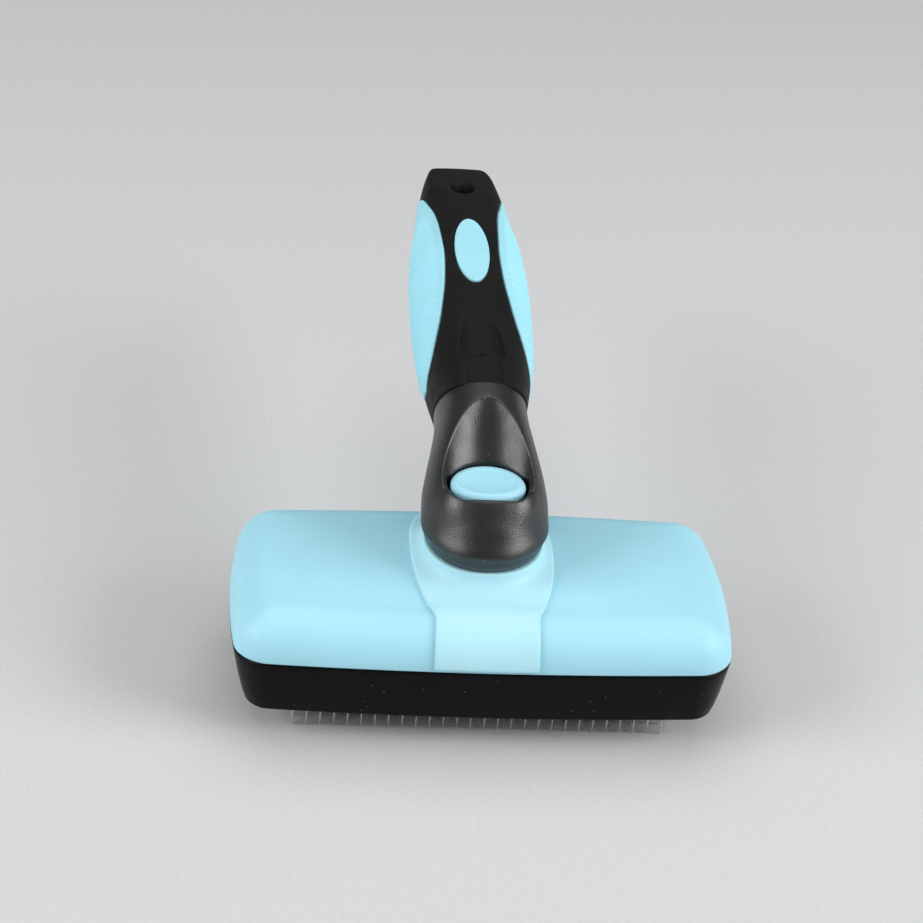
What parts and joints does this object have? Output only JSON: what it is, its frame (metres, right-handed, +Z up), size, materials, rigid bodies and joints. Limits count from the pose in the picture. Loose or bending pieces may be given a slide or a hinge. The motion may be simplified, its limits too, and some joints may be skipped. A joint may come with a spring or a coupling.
{
  "type": "slicker brush",
  "caption": "Hand-held pet slicker brush: a wide head of bent steel pins, a push button that drives a hair-stripping plate, and a rubber handle with a hang hole.",
  "frame": {"origin": "centre of the brush's footprint, on the plane of the pin tips", "axes": "+Z up and away from the pins, +Y from the head towards the handle's end, X across the head"},
  "size_m": [0.115, 0.1826, 0.0731],
  "materials": {
    "cyan_plastic": "fine matte moulding",
    "satin_black": "satin with a fine grain",
    "black_plastic": "semi gloss",
    "dark_plastic": "matte",
    "black_rubber": "matte soft touch",
    "cyan_rubber": "matte soft touch, ribbed",
    "cushion_rubber": "matte",
    "natural_plastic": "matte",
    "pin_steel": "drawn wire",
    "spring_steel": "drawn wire",
    "screw_steel": "zinc plated"
  },
  "bodies": {
    "brush": {"top_cover": "cyan_plastic", "neck_collar": "cyan_plastic", "base_frame": "black_plastic", "neck_shell": "satin_black", "grip_sleeve": "black_rubber", "left_grip_pad": "cyan_rubber", "right_grip_pad": "cyan_rubber", "handle_badge": "cyan_plastic", "bristle_pins": "pin_steel", "cushion_pad": "cushion_rubber", "pin_board": "dark_plastic", "plunger_guide": "natural_plastic", "return_spring": "spring_steel", "frame_screws": "screw_steel", "neck_screws": "screw_steel", "handle_core": "dark_plastic", "handle_screws": "screw_steel"},
    "plunger": {"button": "cyan_plastic", "push_rod": "natural_plastic", "push_rod_screw": "screw_steel", "carrier": "natural_plastic", "carrier_screws": "screw_steel", "cleaning_plate": "black_plastic"}
  },
  "joints": [
    {"name": "button_press", "type": "slide", "parent": "brush", "child": "plunger", "axis": [0, 0, -1], "range_m": [0, 0.0085], "stiffness_N_per_m": 450, "springref_m": -0.004, "deforming": ["return_spring"]}
  ]
}
